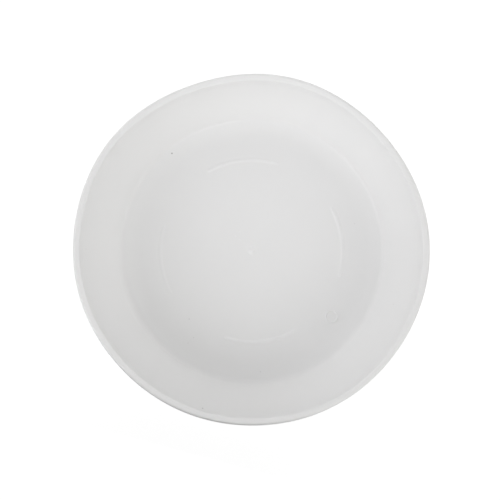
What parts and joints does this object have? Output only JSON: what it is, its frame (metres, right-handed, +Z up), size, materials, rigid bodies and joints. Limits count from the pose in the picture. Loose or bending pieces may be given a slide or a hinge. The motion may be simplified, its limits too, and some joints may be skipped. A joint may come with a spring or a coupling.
{
  "type": "plant saucer",
  "caption": "Round white plastic saucer with a flared wall, a rolled rim, a foot ring and curved floor ribs; stands under a plant pot and holds the water that drains from it.",
  "frame": {"origin": "on the axis of the dish, in the plane that the foot ring stands on", "axes": "+Z up along the axis of the dish; +X through the middle of pot_rib_1, +Y through the middle of pot_rib_2"},
  "size_m": [0.2, 0.2, 0.042],
  "materials": {
    "white_polypropylene": "satin, as it leaves the mould"
  },
  "bodies": {
    "root": {"dish": "white_polypropylene", "pot_rib_1": "white_polypropylene", "pot_rib_2": "white_polypropylene", "pot_rib_3": "white_polypropylene", "pot_rib_4": "white_polypropylene"}
  },
  "joints": []
}
